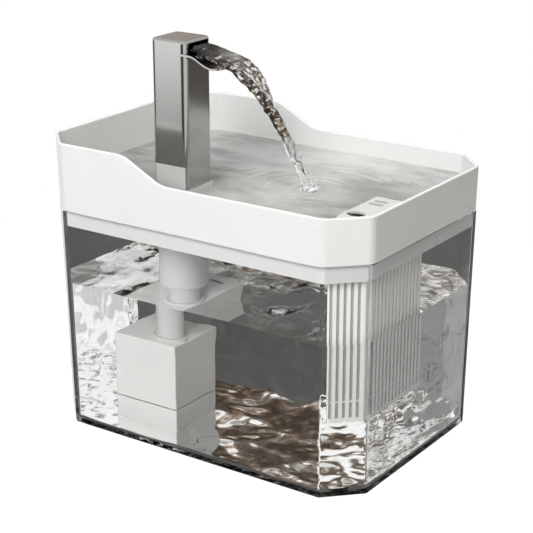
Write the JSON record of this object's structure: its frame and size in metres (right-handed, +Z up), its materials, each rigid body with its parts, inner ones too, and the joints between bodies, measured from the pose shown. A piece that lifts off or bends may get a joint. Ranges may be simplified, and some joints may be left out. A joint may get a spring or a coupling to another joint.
{
  "type": "pet water fountain",
  "caption": "Pet water fountain: a clear tank under a white lift-off drinking tray with a square steel tap, fed by a boxed pump and drained through a corner filter.",
  "frame": {"origin": "on the table, under the middle of the tank's footprint", "axes": "+Z up, +X along the long side from the tap end to the filter end, -Y the long side nearest the tap"},
  "size_m": [0.2212, 0.1594, 0.2398],
  "materials": {
    "clear_plastic": "clear moulded, polished",
    "white_plastic": "moulded, satin gloss",
    "white_matte": "moulded, matte",
    "steel": "fine vertical brushing, polished edges",
    "dark_plastic": "moulded, matte",
    "soft_seal": "translucent silicone",
    "dark_foam": "open-cell foam",
    "laminations": "stacked sheet",
    "windings": "enamelled wire",
    "ferrite": "sintered",
    "shaft_steel": "ground",
    "felt": "needled felt",
    "carbon": "packed granules"
  },
  "bodies": {
    "tank": {"water_tank": "clear_plastic", "tank_feet": "clear_plastic"},
    "tray": {"drinking_tray": "white_plastic", "riser_sleeve": "white_plastic", "sleeve_seal": "soft_seal"},
    "tap": {"tap_column": "steel", "tap_spout": "steel", "tap_duct": "dark_plastic", "tap_gasket": "soft_seal"},
    "basket": {"filter_basket": "white_plastic", "basket_foam": "dark_foam"},
    "cartridge": {"drain_cover": "white_plastic", "cartridge_frame": "white_matte", "filter_felt": "felt", "filter_carbon": "carbon"},
    "pump": {"pump_base": "white_matte", "motor_housing": "dark_plastic", "stator_core": "laminations", "stator_windings": "windings", "pump_volute": "dark_plastic", "rotor_shaft": "shaft_steel", "shaft_bushes": "soft_seal", "cord_gland": "dark_plastic", "pump_prefilter": "dark_foam", "suction_cups": "soft_seal", "riser_tube": "white_plastic"},
    "cover": {"pump_cover": "white_matte", "cover_grommet": "white_plastic"},
    "rotor": {"impeller": "white_matte", "rotor_magnet": "ferrite"}
  },
  "joints": [
    {"name": "tray_lift", "type": "slide", "parent": "tank", "child": "tray", "axis": [0, 0, 1], "range_m": [0, 0.11]},
    {"name": "tap_lift", "type": "slide", "parent": "tray", "child": "tap", "axis": [0, 0, 1], "range_m": [0, 0.03]},
    {"name": "basket_lift", "type": "slide", "parent": "tray", "child": "basket", "axis": [0, 0, 1], "range_m": [0, 0.11]},
    {"name": "cartridge_lift", "type": "slide", "parent": "basket", "child": "cartridge", "axis": [0, 0, 1], "range_m": [0, 0.09]},
    {"name": "pump_lift", "type": "slide", "parent": "tank", "child": "pump", "axis": [0, 0, 1], "range_m": [0, 0.018]},
    {"name": "cover_lift", "type": "slide", "parent": "pump", "child": "cover", "axis": [0, 0, 1], "range_m": [0, 0.028]},
    {"name": "impeller_spin", "type": "hinge", "parent": "pump", "child": "rotor", "pos_m": [-0.046, -0.0335, 0.032], "axis": [0, 1, 0], "continuous": true}
  ]
}
